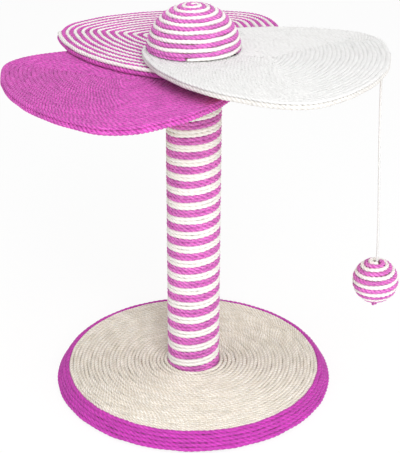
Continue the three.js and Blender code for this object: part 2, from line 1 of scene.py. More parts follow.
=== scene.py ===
# %% [markdown]
# A cat scratching post. Almost everything that shows on it is sisal rope: wound round the post,
# the dome and the ball, and laid in flat spirals on the base and on three petals. So this scene
# is mostly one idea used many times: a rope is a section with three strands that is carried along
# a path while it turns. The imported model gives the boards, the fasteners and all the places.

# %% Load the frame
import math

import bpy
import numpy as np
from mathutils import Matrix, Vector


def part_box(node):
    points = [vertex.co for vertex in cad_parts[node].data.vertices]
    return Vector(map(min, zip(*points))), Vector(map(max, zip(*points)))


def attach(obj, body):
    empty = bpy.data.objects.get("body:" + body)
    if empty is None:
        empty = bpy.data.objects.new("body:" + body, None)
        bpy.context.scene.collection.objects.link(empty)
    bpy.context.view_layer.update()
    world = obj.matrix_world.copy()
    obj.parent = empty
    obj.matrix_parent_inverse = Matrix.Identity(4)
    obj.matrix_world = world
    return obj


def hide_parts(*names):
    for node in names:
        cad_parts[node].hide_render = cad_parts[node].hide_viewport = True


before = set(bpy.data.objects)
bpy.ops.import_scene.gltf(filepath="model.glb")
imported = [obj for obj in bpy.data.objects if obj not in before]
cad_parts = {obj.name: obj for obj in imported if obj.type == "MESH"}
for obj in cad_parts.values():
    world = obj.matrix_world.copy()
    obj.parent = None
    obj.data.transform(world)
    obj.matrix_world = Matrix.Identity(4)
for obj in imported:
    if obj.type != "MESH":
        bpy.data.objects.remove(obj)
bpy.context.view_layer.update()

# %% [markdown]
# The camera comes first, at the photograph's viewing angle. It stands
# 1.47 m in front of the post, 0.93 m above the floor, and looks down by 25 degrees. Its focal
# length is known in pixels of a picture 453 pixels high, and the sensor's 36 mm lie along that
# longer side.

# %% Camera at the photograph's viewing angle
FOCAL_PIXELS, PICTURE_HEIGHT = 1163.0, 453
SENSOR_MM = 36
CAMERA_PLACE = (0, -1.4658, 0.9263)  # in metres
YAW, PITCH, ROLL = 0.0060, 0.4382, 0.0038  # in radians

camera = bpy.data.objects.new("camera", bpy.data.cameras.new("camera"))
bpy.context.scene.collection.objects.link(camera)
bpy.context.scene.camera = camera
camera.data.sensor_width = SENSOR_MM
camera.data.lens = SENSOR_MM * FOCAL_PIXELS / PICTURE_HEIGHT

ahead = Vector((math.sin(YAW) * math.cos(PITCH), math.cos(YAW) * math.cos(PITCH), -math.sin(PITCH)))
level = Vector((math.cos(YAW), -math.sin(YAW), 0))
upright = level.cross(ahead)
right = level * math.cos(ROLL) + upright * math.sin(ROLL)
above = upright * math.cos(ROLL) - level * math.sin(ROLL)
turned = Matrix((right, above, -ahead)).transposed().to_4x4()
camera.matrix_world = Matrix.Translation(CAMERA_PLACE) @ turned
print("lens, mm:", round(camera.data.lens, 1))

# %% [markdown]
# A mesh is put together from whole arrays of corners and faces. The ropes also need to know where
# each corner would be if the rope were pulled straight: the length along it, and the place in its
# section. This is kept as an attribute named straight, in millimetres, so that fibres can be
# painted along the rope however it is wound.

# %% From arrays to a mesh
MM = 0.001


def make_mesh(name, corners, faces, straight=None):
    """An object from corners in mm and rows of corner numbers. In a row of four, a -1 at the end
    makes a triangle."""
    sizes = np.where(faces[:, 3] < 0, 3, 4)
    mesh = bpy.data.meshes.new(name)
    mesh.vertices.add(len(corners))
    mesh.vertices.foreach_set("co", (corners * MM).astype(np.float32).ravel())
    mesh.loops.add(int(sizes.sum()))
    mesh.loops.foreach_set("vertex_index", faces[faces >= 0].astype(np.int32))
    mesh.polygons.add(len(faces))
    starts = np.concatenate([[0], np.cumsum(sizes)[:-1]])
    mesh.polygons.foreach_set("loop_start", starts.astype(np.int32))
    mesh.polygons.foreach_set("use_smooth", np.ones(len(faces), bool))
    if straight is not None:
        places = mesh.attributes.new("straight", "FLOAT_VECTOR", "POINT")
        places.data.foreach_set("vector", straight.astype(np.float32).ravel())
    mesh.update(calc_edges=True)
    made = bpy.data.objects.new(name, mesh)
    bpy.context.scene.collection.objects.link(made)
    return made


# %% [markdown]
# A finished piece is hung on the body it moves with, and the solids of the imported model that it
# stands for are hidden.

# %% Where a finished piece rides, and what it hides
def fit(piece, body, slot, *nodes):
    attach(piece, body)
    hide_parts(*nodes)
    print(piece.name, len(piece.data.polygons), "faces, rides on", body)


# %% [markdown]
# Sisal rope is laid from three strands. Cut across, it shows three lobes with a groove between
# each two, and this figure turns once in a lay, which is about three and a half diameters, and
# four and a half on the post and on the base's edge. The grid of the surface turns with the
# strands, so a groove follows a line of the grid and stays sharp with few faces. Rows that lie
# side by side are pressed into each other, so a rope is drawn thicker than the distance from one
# row to the next. Sisal is spun from stiff leaf fibres, so no length of it is quite even: the
# rope swells and thins a little, and each row strays sideways.

# %% Rope along a path
STRAND_POINTS = 4  # corners across one strand
GROOVE = 0.27  # depth of a groove, as a share of the radius
PRESSED = 1.2  # thickness as drawn, over the distance from row to row
BASE_ROPE = 5.4
STRAY, SWELL = 0.5, 0.07  # sideways, in mm on the base's rope, and as a share of the radius
SECTION = 3.0  # radius in mm of the rope that the straight places are given for
ROPE_LAY, POST_LAY, RIM_LAY = 19, 24, 25  # mm of rope to one turn of its strands
START_STEP = 617.0  # mm between the starts of a piece's ropes, so that no two drift alike
OFF_FLOOR = 0.2  # rope and fibres by the floor are kept this far above it, in mm


def unit(vectors):
    return vectors / np.linalg.norm(vectors, axis=-1, keepdims=True)


def drift(s, number):
    """An uneven wave between -1 and 1: the mean of three sines of unlike lengths."""
    short, middling = np.sin(s / 5.3 + number), np.sin(s / 9.1 + 2 * number)
    return (short + middling + np.sin(s / 17.9 + 3 * number)) / 3


def rope_surface(path, outward, diameter, lay, steps, start=0.0, flat=1.0):
    """Corners, faces and straight places of a three-strand rope.
    The corner at length s and strand angle a is  path(s) + R(a) (cos(t) n + sin(t) b)  with
    t = a + 2 pi s / lay,  R(a) = r (1 - GROOVE + GROOVE cos(3/2 a'))  and a' the angle from the
    nearest strand's crest. n and b are square to the path, n on the side that shows. A drift
    along b and in r makes the rope uneven, and a rope that was pressed down has its section
    scaled along n by flat. The rope narrows close to its ends. The straight places are those of
    a round rope of radius SECTION, so that one material fits ropes of all sizes."""
    lengths = np.concatenate([[0], np.cumsum(np.linalg.norm(np.diff(path, axis=0), axis=1))])
    count = max(4, round(lengths[-1] / lay * steps))
    s = np.linspace(0, lengths[-1], count + 1)
    centre = np.stack([np.interp(s, lengths, path[:, i]) for i in range(3)], 1)
    n = np.stack([np.interp(s, lengths, outward[:, i]) for i in range(3)], 1)
    along = unit(np.gradient(centre, axis=0))
    n = unit(n - (n * along).sum(1, keepdims=True) * along)
    b = np.cross(along, n)
    even = diameter / BASE_ROPE
    centre = centre + STRAY * even * drift(s + start, 1.0)[:, None] * b
    a = np.arange(3 * STRAND_POINTS) * 2 * np.pi / (3 * STRAND_POINTS)
    from_crest = (a + np.pi / 3) % (2 * np.pi / 3) - np.pi / 3
    radius = diameter / 2 * (1 - GROOVE + GROOVE * np.cos(1.5 * from_crest))
    ends = np.clip(0.45 + 0.55 * np.minimum(s, s[-1] - s) / (0.3 * diameter), 0, 1)
    radius = (ends * (1 + SWELL * drift(s + start, 4.0)))[:, None] * radius
    t = a + 2 * np.pi * (s[:, None] + start) / lay
    x, y = radius * np.cos(t), radius * np.sin(t)
    corners = centre[:, None] + flat * x[..., None] * n[:, None] + y[..., None] * b[:, None]
    drawn = 2 * SECTION / diameter
    straight = np.stack([np.broadcast_to(s[:, None] + start, x.shape), drawn * x, drawn * y], -1)
    around = len(a)
    i, j = np.meshgrid(np.arange(count), np.arange(around), indexing="ij")
    k = (j + 1) % around
    quads = np.stack([i * around + j, i * around + k, (i + 1) * around + k, (i + 1) * around + j], -1)
    j, k = np.arange(around), (np.arange(around) + 1) % around
    poles = around * (count + 1) + np.array([0, 1])
    none = np.full(around, -1)
    first = np.stack([np.full(around, poles[0]), k, j, none], 1)
    last = np.stack([np.full(around, poles[1]), count * around + j, count * around + k, none], 1)
    corners = np.concatenate([corners.reshape(-1, 3), centre[[0, -1]]])
    tips = np.array([[start, 0, 0], [s[-1] + start, 0, 0]])
    faces = np.concatenate([quads.reshape(-1, 4), first, last])
    return corners, faces, np.concatenate([straight.reshape(-1, 3), tips])


def ropes(name, paths, diameter, lay, steps=12, between=(-1e4, 1e4), flat=1.0):
    """One object of one or more ropes, each a pair of arrays: its path, and where outward is.
    What would reach past the heights between which it lies is pressed flat."""
    parts, before = [], 0
    for number, (path, outward) in enumerate(paths):
        start = START_STEP * number
        corners, faces, straight = rope_surface(path, outward, diameter, lay, steps, start, flat)
        corners[:, 2] = np.clip(corners[:, 2], *between)
        parts.append((corners, np.where(faces >= 0, faces + before, -1), straight))
        before += len(corners)
    return make_mesh(name, *[np.concatenate(column) for column in zip(*parts)])


# %% [markdown]
# The toy hangs on a thin white cotton cord. The photograph shows it from end to end, so its
# length is known: 330 mm from the knot in the petal, through the ball, to the knot under it. It
# runs down and carries the ball 11.5 mm outward, which is where the ball is in the photograph.
# Such a cord can keep a little of the bend that it was packed with.

# %% Cord of the toy
PIVOT = np.array([238.157, -50.385, 486.268])
OUTWARD = np.array([0.97834, -0.20698, 0.0])
CORD_ROUTE = np.array([
    [0, 4.4], [0, 20.54], [1.38, 58.2], [4.025, 112.0], [7.13, 165.8], [9.89, 219.6],
    [11.5, 265.33], [11.5, 302.968], [11.5, 334.268],
])
CORD_DIAMETER = 3.4
CORD_LAY = 11


def through(points, count):
    """A smooth run through the points: a Catmull-Rom spline of each coordinate."""
    ends = np.concatenate([2 * points[:1] - points[1:2], points, 2 * points[-1:] - points[-2:-1]])
    u = np.linspace(0, len(points) - 1, count)
    i = np.minimum(u.astype(int), len(points) - 2)
    f = (u - i)[:, None]
    p, q, r, s = ends[i], ends[i + 1], ends[i + 2], ends[i + 3]
    square, cube = 2 * p - 5 * q + 4 * r - s, 3 * q - p - 3 * r + s
    return 0.5 * (2 * q + (r - p) * f + square * f**2 + cube * f**3)


def cord_points(count):
    run = through(CORD_ROUTE, count)
    return PIVOT + run[:, :1] * OUTWARD - run[:, 1:] * np.array([0, 0, 1])


cord_line = cord_points(200)
sideways = np.broadcast_to(OUTWARD, cord_line.shape)
cord = ropes("toy_cord_laid", [(cord_line, sideways)], CORD_DIAMETER, lay=CORD_LAY)
fit(cord, "toy", "cotton_cord", "toy_cord")

# %% [markdown]
# On the base the rope is laid from the post's foot outward. A hand that lays rope on a round
# board keeps it level with the edge and steps over to the next row in one place, here at the
# back, which is why the border between the two colours is a clean circle. Nearer the middle the
# step eases out into a steady spiral. The same rule serves the petals.

# %% Rows with a step
def rows(turns, share, level):
    """How many rows the rope has moved after so many turns: whole rows, with a smooth step in
    the last share of a turn, where level is 1, and the number of turns itself where it is 0."""
    whole = np.floor(turns)
    f = np.clip((turns - whole - 1 + share) / share, 0, 1)
    return turns + level * (whole + f * f * (3 - 2 * f) - turns)


def around_post(radius, angle, height):
    """Points at a radius from the post's axis. The angle grows from the front to the right."""
    return np.stack([radius * np.sin(angle), -radius * np.cos(angle), height + 0 * angle], -1)


# %% [markdown]
# The base's profile is a flat that turns down into a bevel. The rope's middle runs half a
# diameter off it. Natural rope covers the flat, and where it reaches the bevel dyed rope carries
# on for five rows down to the floor. The first turns ride up a little at the post's foot.

# %% Rope on the base
BOARD_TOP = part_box("base_board")[1].z / MM
BEND_START, BEND_RADIUS = 183.6, 4.0
BEVEL_SLOPE = math.radians(59)
FIRST_ROW, FIRST_COLOURED = 40.1, 184.0
NATURAL_ROWS, COLOURED_ROWS = 27, 5
NATURAL_PITCH = (FIRST_COLOURED - FIRST_ROW) / NATURAL_ROWS
FIRST_TURN_LIFT, LIFT_ROWS = 1.8, 1.2  # in mm, and in rows over which it fades
STEP_SHARE = 0.07  # of a turn, in which the rope steps over to the next row
BASE_POINTS, BASE_THICKER = 260, 1.12  # points to a turn, and what PRESSED is on the flat


def base_profile(t):
    """Radius and height of the rope's middle, and of its outward side, at a distance t along the
    profile: flat, then an arc round the board's edge, then straight down the bevel."""
    turned = np.clip((t - BEND_START) / BEND_RADIUS, 0, BEVEL_SLOPE)
    down = np.maximum(t - BEND_START - BEND_RADIUS * BEVEL_SLOPE, 0)
    radius = np.minimum(t, BEND_START) + BEND_RADIUS * np.sin(turned) + down * math.cos(BEVEL_SLOPE)
    fallen = BEND_RADIUS * (1 - np.cos(turned)) + down * math.sin(BEVEL_SLOPE)
    return radius, BOARD_TOP + BASE_ROPE / 2 - fallen, np.sin(turned), np.cos(turned)


def base_rope(first_turn, last_turn):
    turns = np.linspace(first_turn, last_turn, int(BASE_POINTS * (last_turn - first_turn)))
    level = np.exp(-turns / 3) + np.exp(np.minimum(turns - NATURAL_ROWS, 0) / 9)
    moved = rows(turns, STEP_SHARE, np.minimum(level, 1))
    coloured = np.clip(moved - NATURAL_ROWS, 0, COLOURED_ROWS - 1)
    place = FIRST_ROW + NATURAL_PITCH * np.minimum(moved, NATURAL_ROWS) + BASE_ROPE * coloured
    radius, height, out, up = base_profile(place)
    height = height + FIRST_TURN_LIFT * np.exp(-moved / LIFT_ROWS)
    angle = np.pi + 2 * np.pi * turns
    return around_post(radius, angle, height), around_post(out, angle, up)


natural_line = base_rope(0.0, NATURAL_ROWS - 0.002)
magenta_line = base_rope(NATURAL_ROWS - 0.004, NATURAL_ROWS + COLOURED_ROWS)
base_natural = ropes("base_rope_natural", [natural_line], BASE_ROPE * BASE_THICKER,
                     lay=ROPE_LAY, steps=8)
base_magenta = ropes("base_rope_magenta", [magenta_line], BASE_ROPE * PRESSED,
                     lay=RIM_LAY, between=(OFF_FLOOR, 100))
fit(base_natural, "stand", "natural_sisal", "base_top_sisal")
fit(base_magenta, "stand", "magenta_sisal", "base_rim_sisal")

# %% [markdown]
# Four ropes climb the post side by side, two of each colour, so a band is two ropes high and a
# pair of bands is one turn's climb. They rise to the right. At the foot each runs down until it
# meets the board, a quarter turn after its neighbour. The two natural ones are let in a third of
# a turn after the front, and the dyed ones' tails lie in their place up to there. The hand that
# winds strays up to six millimetres from an even climb, as measured on the photograph's stripes.

# %% Rope on the post
POST_ROPE = 5.43
POST_OUTSIDE, POST_POINTS = 37.2, 120  # radius over the rope, and points to a turn
POST_CENTRE = POST_OUTSIDE - POST_ROPE / 2
BAND_HEIGHT = 32.5
CLIMB = 4 * POST_ROPE
HAND_HEIGHTS = [20, 33, 54, 76, 120, 141, 250, 293, 315, 337, 358, 380, 430]
HAND_STRAYS = [-6.2, -5.3, -2.6, -0.6, 1.3, 3.4, 3.6, 3.7, 2.8, 1.6, 1.2, -0.9, 0]
post_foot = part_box("post_tube")[0].z / MM
post_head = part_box("post_tube")[1].z / MM


def post_rope(height_at_front, first, last):
    """A helix. The height is height_at_front + CLIMB turns, and what the hand strayed from that
    is read off a short table, in mm."""
    turns = np.linspace(first, last, int(POST_POINTS * (last - first)))
    angle = 2 * np.pi * turns
    height = height_at_front + CLIMB * turns
    strayed = np.interp(height, HAND_HEIGHTS, HAND_STRAYS)
    return around_post(POST_CENTRE, angle, height + strayed), around_post(1.0, angle, 0)


def turn_at(height, height_at_front):
    return (height - height_at_front) / CLIMB


def post_ropes(height_at_front, first=None, last=None):
    """Two ropes side by side, by default from the post's foot to its head."""
    pair = []
    for at_front in (height_at_front - POST_ROPE / 2, height_at_front + POST_ROPE / 2):
        low = turn_at(post_foot, at_front) if first is None else first
        high = turn_at(post_head, at_front) if last is None else last
        pair.append(post_rope(at_front, low, high))
    return pair


NATURAL_START, TAIL = 0.34, 0.02  # turns after the front, and how far the dyed tails run on
NATURAL_HEIGHT = BAND_HEIGHT - 2 * POST_ROPE
dyed_tails = post_ropes(NATURAL_HEIGHT, last=NATURAL_START + TAIL)
post_lines = {
    "magenta": post_ropes(BAND_HEIGHT) + dyed_tails,
    "natural": post_ropes(NATURAL_HEIGHT, first=NATURAL_START),
}
for colour, lines in post_lines.items():
    heights = (post_foot, post_head)
    post_winding = ropes(f"post_rope_{colour}", lines, POST_ROPE * PRESSED, lay=POST_LAY, between=heights)
    fit(post_winding, "stand", f"{colour}_sisal", f"post_sisal_{colour}")

# %% [markdown]
# A petal is a triangle with round corners whose sides and end are bowed. Its outline is made of
# arcs, so the same outline drawn further in is made of arcs round the same centres with shorter
# radii, and a round corner shrinks until it is sharp. Seen from the petal's eye, the point that
# is furthest from all sides, every ray crosses each such outline once, and the spiral can be
# worked out ray by ray.

# %% Outline of a petal, drawn at any inset
TIP, TIP_RADIUS = np.array([4.8, 0.0]), 71.5
WIDE, WIDE_RADIUS = np.array([162.6, 94.2]), 66.4
SIDE_RADIUS, END_RADIUS = 246.9, 269.1
PETAL_ROPE = 5.5
MIRROR = np.array([1, -1])

end_centre = np.array([WIDE[0] - math.sqrt((END_RADIUS - WIDE_RADIUS) ** 2 - WIDE[1] ** 2), 0.0])
apart = np.linalg.norm(WIDE - TIP)
from_tip, from_wide = SIDE_RADIUS - TIP_RADIUS, SIDE_RADIUS - WIDE_RADIUS
along_it = (from_tip**2 - from_wide**2 + apart**2) / (2 * apart)
off_it = math.sqrt(from_tip**2 - along_it**2)
axis = (WIDE - TIP) / apart
side_centre = TIP + axis * along_it + np.array([axis[1], -axis[0]]) * off_it
line = np.stack([np.linspace(60, 180, 4001), np.zeros(4001)], 1)
to_end = END_RADIUS - np.linalg.norm(line - end_centre, axis=1)
to_side = SIDE_RADIUS - np.linalg.norm(line - side_centre, axis=1)
equally_far = np.abs(to_end - to_side).argmin()
EYE, DEEPEST = line[equally_far], to_end[equally_far]
print("petal eye at", EYE[0].round(1), "mm,", DEEPEST.round(1), "mm in from every side")


def cross(a, b):
    return a[..., 0] * b[..., 1] - a[..., 1] * b[..., 0]


def ray_leaves(ray, centre, radius):
    """Distance from the eye, along a ray, to where it leaves a circle."""
    middle = ray @ (centre - EYE)
    return middle + np.sqrt(np.maximum(middle**2 - ((centre - EYE) ** 2).sum() + radius**2, 0))


def petal_point(angle, inset):
    """Points of the outline at an inset, seen from the eye at an angle from the middle line:
    the nearest of the three big circles, or a corner's circle between its two tangent points."""
    ray = np.stack([np.cos(angle), np.sin(angle)], -1)
    big = [(end_centre, END_RADIUS), (side_centre, SIDE_RADIUS), (side_centre * MIRROR, SIDE_RADIUS)]
    reach = np.minimum.reduce([ray_leaves(ray, centre, radius - inset) for centre, radius in big])
    corners = [(WIDE, WIDE_RADIUS, end_centre, side_centre),
               (TIP, TIP_RADIUS, side_centre, side_centre * MIRROR),
               (WIDE * MIRROR, WIDE_RADIUS, side_centre * MIRROR, end_centre)]
    for centre, radius, before, after in corners:
        left = np.maximum(radius - inset, 0)[..., None]
        starts = centre + unit(centre - before) * left - EYE
        stops = centre + unit(centre - after) * left - EYE
        inside = (cross(starts, ray) > 0) & (cross(ray, stops) > 0) & (inset < radius)
        reach = np.where(inside, ray_leaves(ray, centre, left[..., 0]), reach)
    return EYE + ray * reach[..., None]


# %% [markdown]
# Each petal carries one row of rope round the edge of its board and a spiral on its face that
# starts right over that row. On the striped petal two ropes start half a turn apart, the natural
# one at the left corner, and lie side by side all the way to the eye. Where a corner gets sharp,
# the rope is let round it in a bend of a few millimetres, as real rope would.

# %% Rope on the petals
def eased(path, reach):
    """The path with sharp corners rounded: a running mean over the points within reach."""
    window = np.hanning(2 * reach + 3)[1:-1]
    padded = np.concatenate([np.repeat(path[:1], reach, 0), path, np.repeat(path[-1:], reach, 0)])
    weights = window / window.sum()
    return np.stack([np.convolve(column, weights, "valid") for column in padded.T], 1)


def evenly(path, step):
    lengths = np.concatenate([[0], np.cumsum(np.linalg.norm(np.diff(path, axis=0), axis=1))])
    s = np.arange(0, lengths[-1], step)
    return np.stack([np.interp(s, lengths, path[:, i]) for i in range(path.shape[1])], 1)


CURL_TURNS = 1.6
EYE_HOLE, NATURAL_HOLE = 2.6, 6  # mm short of the deepest inset, where a spiral stops
TUCK, TUCK_LENGTH = 3.5, 20  # how far below, and over how much of the rope, in mm


def petal_spiral(start_angle, starts, inner_inset, scale, curl=5.0):
    """A rope's path on the petal's face. Each of the starts takes its share of a turn to move in
    by one row. The end is curled up in the eye from a radius of curl, to leave no hole there."""
    turns = np.linspace(0, 40, 40000)
    moved = rows(turns * starts, 0.12 * starts**0.5, np.exp(-turns * starts / 9))
    inset = PETAL_ROPE / scale * (0.5 + moved)
    turns, inset = turns[inset < inner_inset], inset[inset < inner_inset]
    run = petal_point(start_angle + 2 * np.pi * turns, inset)
    if curl:
        left = np.linspace(1, 0, 60)
        angle = start_angle + 2 * np.pi * (turns[-1] + CURL_TURNS * (1 - left))
        ray = np.stack([np.cos(angle), np.sin(angle)], -1)
        run = np.concatenate([run, EYE + curl * left[:, None] * ray])
    return eased(evenly(run, 1.0), 4) * scale


def petal_edge(scale):
    angle = np.pi + np.linspace(0.004, 2 * np.pi - 0.004, 1500)
    return petal_point(angle, np.full(1500, PETAL_ROPE / 2 / scale)) * scale


def placed(flat, turn, height, tuck):
    """A petal's flat path turned about the post and lifted, with outward pointing up. Its first
    two centimetres come up from a tuck below, where the end is hidden."""
    c, s = math.cos(math.radians(turn)), math.sin(math.radians(turn))
    x, y = flat[:, 0] * c - flat[:, 1] * s, flat[:, 0] * s + flat[:, 1] * c
    rise = np.clip(np.arange(len(x)) / TUCK_LENGTH, 0, 1)
    z = height - tuck * (1 - rise * rise * (3 - 2 * rise))
    return np.stack([x, y, z], 1), np.broadcast_to([0.0, 0, 1], (len(x), 3))


PETALS = {"low": (211.4, 0.985), "mid": (103.7, 0.975), "top": (-21.3, 1.0)}
petal_lines = {}


def petal_ropes(which, name, flat_paths, row, slot, *nodes, steps=10, pressed=PRESSED, flat=1.0,
                lift=0.3):
    """Dress one petal with ropes in row 0, round its board, or row 1, on its face. A positive
    lift raises the rope's top, in mm."""
    turn = PETALS[which][0]
    thickness = PETAL_ROPE * pressed
    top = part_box(f"petal_{which}_board")[0].z / MM + (row + 1) * PETAL_ROPE + lift
    height = top - thickness * flat / 2
    lines = [placed(path, turn, height, TUCK * row) for path in flat_paths]
    made = ropes(name, lines, thickness, lay=ROPE_LAY, steps=steps, flat=flat)
    fit(made, f"{which}_petal", slot, *nodes)
    petal_lines[name] = lines


PLAIN_PETALS = [("low", "magenta_sisal", 1.3, 0.75, 1.7), ("top", "bleached_sisal", 1.5, 0.5, 2.9)]
for which, slot, pressed, flat, edge_lift in PLAIN_PETALS:
    scale = PETALS[which][1]
    face, edge = petal_spiral(np.pi, 1, DEEPEST - EYE_HOLE, scale), petal_edge(scale)
    petal_ropes(which, f"petal_{which}_face_rope", [face], 1, slot, f"petal_{which}_top_sisal",
                pressed=pressed, flat=flat)
    petal_ropes(which, f"petal_{which}_edge_rope", [edge], 0, slot, f"petal_{which}_rim_sisal",
                steps=12, pressed=1.4, lift=edge_lift)

scale = PETALS["mid"][1]
LEFT_CORNER = math.radians(62)
natural_face = petal_spiral(LEFT_CORNER, 2, DEEPEST - NATURAL_HOLE, scale, curl=0)
magenta_face = petal_spiral(LEFT_CORNER + np.pi, 2, DEEPEST - EYE_HOLE, scale, curl=8.0)
petal_ropes("mid", "petal_mid_natural_rope", [natural_face], 1, "natural_sisal",
            "petal_mid_sisal_natural", pressed=1.08)
petal_ropes("mid", "petal_mid_magenta_rope", [magenta_face], 1, "magenta_sisal",
            "petal_mid_sisal_magenta", "petal_mid_middle_sisal", pressed=1.3)
petal_ropes("mid", "petal_mid_edge_rope", [petal_edge(scale)], 0, "magenta_sisal",
            "petal_mid_rim_sisal", steps=12)

# %% [markdown]
# The dome and the ball are wound alike: two ropes, one of each colour, climb side by side and
# rise to the right. The way down from the top shrinks steadily with the turns, so every row lies
# one rope from the next. The dome is a little lower than half a ball, and its lowest turns are
# pressed flat where they meet its underside.

# %% Rope on a dome or a ball
def ball_rope(centre, width, height, rope, first_turn, first, last):
    """Path on a ball of given half width and half height, up from first, its place on the
    meridian at the front, to last. A place is a share of the whole meridian, from the top, and
    the millimetres above that. With polar angle p the meridian is (a sin p, b cos p), and p is
    found from the length along it."""
    a, b = width - rope / 2, height - rope / 2
    polar = np.linspace(0, np.pi, 2001)
    r, z = a * np.sin(polar), b * np.cos(polar)
    ways = np.concatenate([[0], np.cumsum(np.hypot(np.diff(r), np.diff(z)))])
    first, last = ways[-1] * first[0] - first[1], ways[-1] * last[0] - last[1]
    turns = np.linspace(first_turn, (first - last) / (2 * rope), 3000)
    p = np.interp(first - 2 * rope * turns, ways, polar)
    angle = 2 * np.pi * turns
    outward = unit(around_post(np.sin(p) / a, angle, np.cos(p) / b))
    return centre + around_post(a * np.sin(p), angle, b * np.cos(p)), outward


THICKER = {"magenta": 1.14, "natural": 1.07}  # thickness as drawn, over the rope's own
DOME_RADIUS, DOME_HEIGHT, DOME_ROPE = 61.5, 58.2, 5.6
dome_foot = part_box("dome_core")[0].z / MM
dome_centre = np.array([0, 0, dome_foot])
dome_size = (dome_centre, DOME_RADIUS, DOME_HEIGHT, DOME_ROPE)
dome_lines = {
    "magenta": [ball_rope(*dome_size, -0.85, (0.5, 6.4), (0, -2.4)),
                ball_rope(*dome_size, -0.4, (0.5, 0.8), (0.5, 0.5))],
    "natural": [ball_rope(*dome_size, -0.025, (0.5, 0.8), (0, -1.6))],
}

BALL_RADIUS, BALL_ROPE = 31.3, 6.04
low_corner, high_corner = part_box("toy_ball_core")
ball_centre = np.array((low_corner + high_corner) / 2) / MM
ball_size = (ball_centre, BALL_RADIUS, BALL_RADIUS, BALL_ROPE)
ball_lines = {
    "magenta": [ball_rope(*ball_size, 0.0, (1, 5.1), (0, -6.6))],
    "natural": [ball_rope(*ball_size, -0.5, (1, 5.1 + BALL_ROPE), (0, -4.6))],
}
dome_facts = (dome_lines, "dome", "stand", "dome_sisal", DOME_ROPE, (dome_foot, 1e4))
ball_facts = (ball_lines, "ball", "toy", "toy_ball_sisal", BALL_ROPE, (-1e4, 1e4))
for lines, thing, body, node, rope, between in (dome_facts, ball_facts):
    for colour, paths in lines.items():
        thickness = rope * THICKER[colour]
        winding = ropes(f"{thing}_rope_{colour}", paths, thickness, lay=ROPE_LAY, steps=14,
                        between=between)
        fit(winding, body, f"{colour}_sisal", f"{node}_{colour}")

# %% [markdown]
# Under the ball the magenta rope's end is tied off in an overhand knot, which keeps the ball on
# its cord. An overhand knot is a trefoil whose ends are let go.

# %% Knots on the cord
def knot(centre, size, thickness):
    """A trefoil: (sin u + 2 sin 2u, cos u - 2 cos 2u, -1.3 sin 3u), scaled to the size."""
    u = np.linspace(0.15, 2 * np.pi - 0.15, 160)
    flat = np.stack(
        [np.sin(u) + 2 * np.sin(2 * u), np.cos(u) - 2 * np.cos(2 * u), -1.3 * np.sin(3 * u)], 1)
    path = centre + flat / 3 * (size - thickness) / 2
    return path, unit(path - centre + np.array([0, 0, 0.01]))


END_KNOT_SIZE, TOP_KNOT_SIZE, KNOT_ROPE, KNOT_LAY = 10.5, 7.4, 2.6, 9
end_low, end_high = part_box("toy_end_knot")
end_line = knot(np.array((end_low + end_high) / 2) / MM, END_KNOT_SIZE, KNOT_ROPE)
top_line = knot(PIVOT, TOP_KNOT_SIZE, KNOT_ROPE)
end_knot = ropes("toy_end_knot_rope", [end_line], KNOT_ROPE, lay=KNOT_LAY)
top_knot = ropes("toy_top_knot_cord", [top_line], KNOT_ROPE, lay=KNOT_LAY)
fit(end_knot, "toy", "magenta_sisal", "toy_end_knot")
fit(top_knot, "toy_knot", "cotton_cord", "toy_top_knot")

# %% [markdown]
# Colours are written as on a colour picker, in sRGB, and turned to the linear values that the
# shader works with. One function adds a node with its settings and links.

# %% Helpers for materials
def hex_colour(text):
    """Linear RGBA from an sRGB hex value."""
    srgb = np.array([int(text[i:i + 2], 16) for i in (1, 3, 5)]) / 255
    linear = np.where(srgb <= 0.04045, srgb / 12.92, ((srgb + 0.055) / 1.055) ** 2.4)
    return (*linear.tolist(), 1.0)


def add_node(tree, kind, inputs=None, **settings):
    made = tree.nodes.new(kind)
    for key, value in settings.items():
        setattr(made, key, value)
    for key, value in (inputs or {}).items():
        if isinstance(value, bpy.types.NodeSocket):
            tree.links.new(value, made.inputs[key])
        else:
            made.inputs[key].default_value = value
    return made


def new_material(name):
    made = bpy.data.materials.new(name)
    made.use_nodes = True
    made.node_tree.nodes.clear()
    return made, made.node_tree


def give(material, *names):
    for name in names:
        slots = bpy.data.objects[name].data.materials
        slots.clear()
        slots.append(material)


# %% [markdown]
# Sisal is the leaf fibre of an agave: stiff, dull and a little shiny along each fibre. In a rope
# the fibres come out nearly parallel to the rope. Two noises are stretched along it: one is a
# bundle of fibres, the other the slow change of dye and bleach. A single fibre is 0.2 mm thick,
# which is too fine to show, so bundles of 0.6 mm are drawn. The grooves between strands are
# painted darker: painted shade for the little light that gets in there.

# %% Sisal rope
BUNDLE_LONG, BUNDLE_WIDE = 6.2, 0.6
DYE_LONG, DYE_WIDE = 14.0, 3.3


